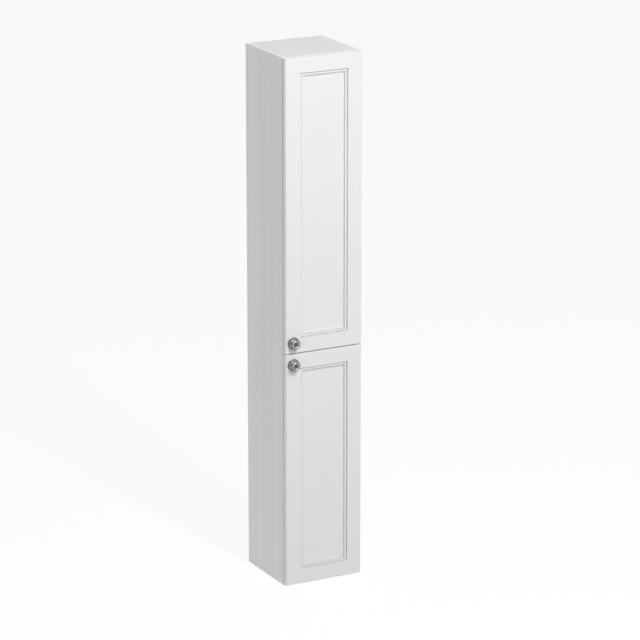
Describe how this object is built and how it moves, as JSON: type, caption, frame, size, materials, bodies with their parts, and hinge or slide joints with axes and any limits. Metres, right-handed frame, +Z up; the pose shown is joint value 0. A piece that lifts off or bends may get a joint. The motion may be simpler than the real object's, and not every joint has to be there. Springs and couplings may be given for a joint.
{
  "type": "tall bathroom cabinet",
  "caption": "Tall narrow wall-hung bathroom cabinet with a long framed door over a shorter one, round knobs, inner shelves and concealed hinges.",
  "frame": {"origin": "bottom centre of the back, on the wall", "axes": "+Z up the cabinet, +Y into the wall, +X to the right of someone who faces the doors, so the doors face -Y"},
  "size_m": [0.25, 0.2705, 1.6],
  "materials": {
    "carcass_board": "matt white foil with a faint upright grain",
    "inner_board": "matt white",
    "door_board": "satin white with a faint upright grain",
    "hinge_nickel": "nickel plated",
    "zinc_steel": "bright zinc plated",
    "knob_metal": "polished, slightly darkened metal",
    "hanger_plastic": "moulded white plastic",
    "bumper_plastic": "soft clear pad",
    "dowel_beech": "plain beech"
  },
  "bodies": {
    "carcass": {"left_side_panel": "carcass_board", "right_side_panel": "carcass_board", "top_panel": "carcass_board", "bottom_panel": "carcass_board", "middle_panel": "inner_board", "back_panel": "inner_board", "lower_fixing_rail": "inner_board", "wall_rail": "zinc_steel", "left_hanger": "hanger_plastic", "right_hanger": "hanger_plastic", "left_hanger_hook": "zinc_steel", "right_hanger_hook": "zinc_steel", "hanger_adjusters": "zinc_steel", "lower_shelf": "inner_board", "upper_shelf_low": "inner_board", "upper_shelf_high": "inner_board", "shelf_pins": "hinge_nickel", "cam_bolts": "zinc_steel", "cam_locks": "zinc_steel", "dowels": "dowel_beech", "side_screws": "zinc_steel", "arm_screws": "zinc_steel", "upper_hinge_arm_high": "hinge_nickel", "upper_hinge_arm_low": "hinge_nickel", "lower_hinge_arm_high": "hinge_nickel", "lower_hinge_arm_low": "hinge_nickel", "upper_hinge_plate_high": "hinge_nickel", "upper_hinge_plate_low": "hinge_nickel", "lower_hinge_plate_high": "hinge_nickel", "lower_hinge_plate_low": "hinge_nickel"},
    "upper_door": {"upper_door_hinge_stile": "door_board", "upper_door_knob_stile": "door_board", "upper_door_top_rail": "door_board", "upper_door_bottom_rail": "door_board", "upper_door_panel": "door_board", "upper_door_beads": "door_board", "upper_hinge_cup_high": "hinge_nickel", "upper_hinge_cup_low": "hinge_nickel", "upper_hinge_pins": "zinc_steel", "upper_cup_screws": "zinc_steel", "upper_knob_rose": "knob_metal", "upper_knob": "knob_metal", "upper_knob_screw": "zinc_steel", "upper_bumpers": "bumper_plastic"},
    "lower_door": {"lower_door_hinge_stile": "door_board", "lower_door_knob_stile": "door_board", "lower_door_top_rail": "door_board", "lower_door_bottom_rail": "door_board", "lower_door_panel": "door_board", "lower_door_beads": "door_board", "lower_hinge_cup_high": "hinge_nickel", "lower_hinge_cup_low": "hinge_nickel", "lower_hinge_pins": "zinc_steel", "lower_cup_screws": "zinc_steel", "lower_knob_rose": "knob_metal", "lower_knob": "knob_metal", "lower_knob_screw": "zinc_steel", "lower_bumpers": "bumper_plastic"}
  },
  "joints": [
    {"name": "upper_door_hinge", "type": "hinge", "parent": "carcass", "child": "upper_door", "pos_m": [0.1163, -0.243, 1.1605], "axis": [0, 0, 1], "range_deg": [0, 105]},
    {"name": "lower_door_hinge", "type": "hinge", "parent": "carcass", "child": "lower_door", "pos_m": [0.1163, -0.243, 0.3615], "axis": [0, 0, 1], "range_deg": [0, 105]}
  ]
}
